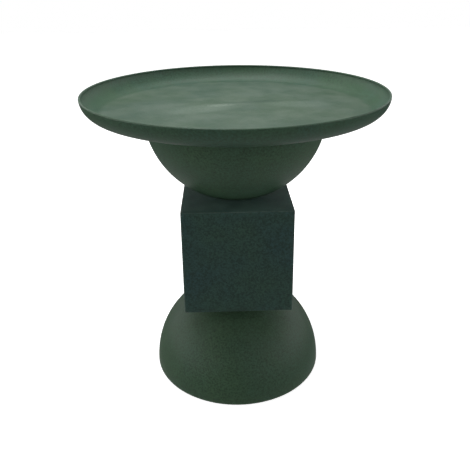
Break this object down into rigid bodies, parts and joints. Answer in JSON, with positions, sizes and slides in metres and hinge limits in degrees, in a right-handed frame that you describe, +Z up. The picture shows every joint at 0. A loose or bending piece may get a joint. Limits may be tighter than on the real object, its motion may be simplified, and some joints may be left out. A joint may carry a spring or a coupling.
{
  "type": "pedestal tray table",
  "caption": "Metal pedestal side table: round lipped tray on a bowl, a square block and a dome, clamped by a tie rod, with levelling glides under the dome.",
  "frame": {"origin": "on the floor, at the middle of the table's footprint", "axes": "+Z up along the common axis of tray, bowl, block and dome; X and Y square to the faces of the block, -Y is the face seen from the front"},
  "size_m": [0.492, 0.492, 0.508],
  "materials": {
    "green_paint": "dark green matt powder coat",
    "zinc_steel": "zinc plated",
    "cast_iron": "rough as cast",
    "black_rubber": "matt",
    "black_plastic": "matt moulded"
  },
  "bodies": {
    "root": {"tray": "green_paint", "tray_weld_studs": "zinc_steel", "tray_hub": "zinc_steel", "hub_washers": "zinc_steel", "hub_nuts": "zinc_steel", "tray_gasket": "black_rubber", "bowl_shell": "green_paint", "bowl_mouth_ring": "green_paint", "bowl_saddle_washer": "zinc_steel", "bowl_spacer_tube": "zinc_steel", "upper_seat_gasket": "black_rubber", "upper_locating_pins": "zinc_steel", "block_wrap": "green_paint", "block_top_panel": "green_paint", "block_bottom_panel": "green_paint", "block_spacer_tube": "zinc_steel", "lower_seat_gasket": "black_rubber", "lower_locating_pins": "zinc_steel", "dome_shell": "green_paint", "dome_saddle_washer": "zinc_steel", "dome_foot_ring": "green_paint", "dome_spacer_tube": "zinc_steel", "base_plate": "green_paint", "base_screws": "zinc_steel", "ballast_disc": "cast_iron", "ballast_bolts": "zinc_steel", "access_cap": "black_plastic", "tie_rod": "zinc_steel", "tie_rod_washer": "zinc_steel", "tie_rod_lock_washer": "zinc_steel", "tie_rod_nut": "zinc_steel", "glide_inserts": "zinc_steel"},
    "glide_pad_1": {"glide_pad_1": "black_plastic"},
    "glide_stud_1": {"glide_stud_1": "zinc_steel"},
    "glide_pad_2": {"glide_pad_2": "black_plastic"},
    "glide_stud_2": {"glide_stud_2": "zinc_steel"},
    "glide_pad_3": {"glide_pad_3": "black_plastic"},
    "glide_stud_3": {"glide_stud_3": "zinc_steel"},
    "glide_pad_4": {"glide_pad_4": "black_plastic"},
    "glide_stud_4": {"glide_stud_4": "zinc_steel"}
  },
  "joints": [
    {"name": "glide_1_height", "type": "slide", "parent": "root", "child": "glide_pad_1", "axis": [0, 0, -1], "range_m": [0, 0.008]},
    {"name": "glide_1_turn", "type": "hinge", "parent": "glide_pad_1", "child": "glide_stud_1", "pos_m": [0.07906, 0.07906, 0.002], "axis": [0, 0, -1], "range_deg": [0, 2305]},
    {"name": "glide_2_height", "type": "slide", "parent": "root", "child": "glide_pad_2", "axis": [0, 0, -1], "range_m": [0, 0.008]},
    {"name": "glide_2_turn", "type": "hinge", "parent": "glide_pad_2", "child": "glide_stud_2", "pos_m": [-0.07906, 0.07906, 0.002], "axis": [0, 0, -1], "range_deg": [0, 2305]},
    {"name": "glide_3_height", "type": "slide", "parent": "root", "child": "glide_pad_3", "axis": [0, 0, -1], "range_m": [0, 0.008]},
    {"name": "glide_3_turn", "type": "hinge", "parent": "glide_pad_3", "child": "glide_stud_3", "pos_m": [-0.07906, -0.07906, 0.002], "axis": [0, 0, -1], "range_deg": [0, 2305]},
    {"name": "glide_4_height", "type": "slide", "parent": "root", "child": "glide_pad_4", "axis": [0, 0, -1], "range_m": [0, 0.008]},
    {"name": "glide_4_turn", "type": "hinge", "parent": "glide_pad_4", "child": "glide_stud_4", "pos_m": [0.07906, -0.07906, 0.002], "axis": [0, 0, -1], "range_deg": [0, 2305]}
  ],
  "couplings": [
    {"joint": "glide_1_turn", "follows": "glide_1_height", "rad_per_m": 5026.5},
    {"joint": "glide_2_turn", "follows": "glide_2_height", "rad_per_m": 5026.5},
    {"joint": "glide_3_turn", "follows": "glide_3_height", "rad_per_m": 5026.5},
    {"joint": "glide_4_turn", "follows": "glide_4_height", "rad_per_m": 5026.5}
  ]
}
